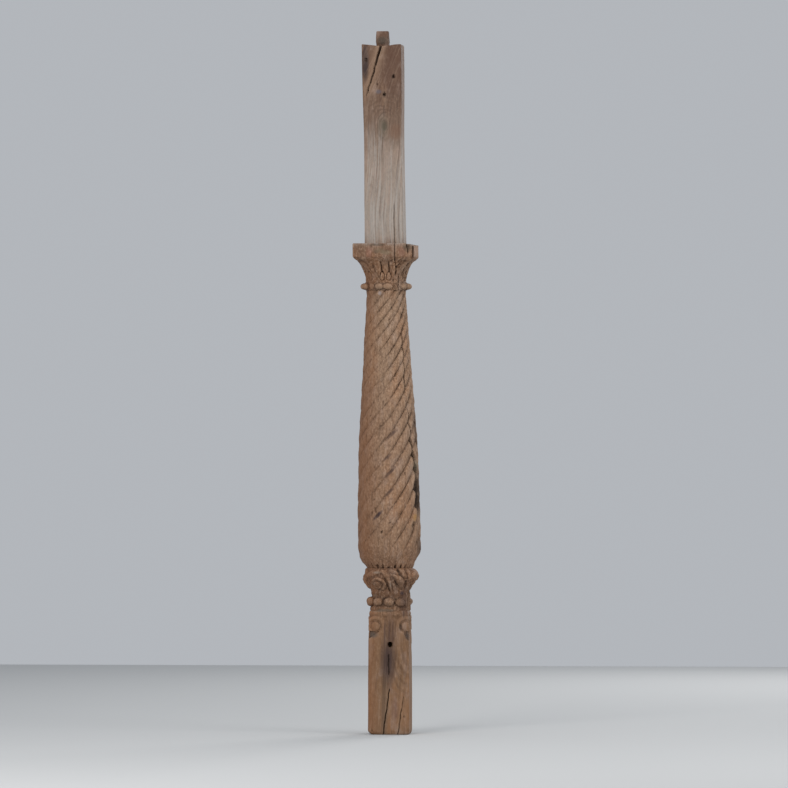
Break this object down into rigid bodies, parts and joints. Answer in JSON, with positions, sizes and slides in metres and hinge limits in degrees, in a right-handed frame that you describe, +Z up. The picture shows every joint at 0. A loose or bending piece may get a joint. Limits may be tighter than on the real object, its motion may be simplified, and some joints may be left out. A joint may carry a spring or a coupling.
{
  "type": "newel post",
  "caption": "Old carved timber post: square foot with scrolls, bead row, leaf band, twisted swelling shaft, leafy capital, square abacus, plain square upper shaft and top tenon.",
  "frame": {"origin": "Middle of the foot's underside. The front face looks along -Y.", "axes": "+Z runs up the post to the tenon. +X is to the right of a viewer who faces the front, and the top drifts a little towards -X."},
  "size_m": [0.1889, 0.1825, 2],
  "materials": {
    "weathered_wood": "bare weathered teak, matt, greyer on the flat faces and darker in the cuts"
  },
  "bodies": {
    "root": {"carved_post": "weathered_wood"}
  },
  "joints": []
}
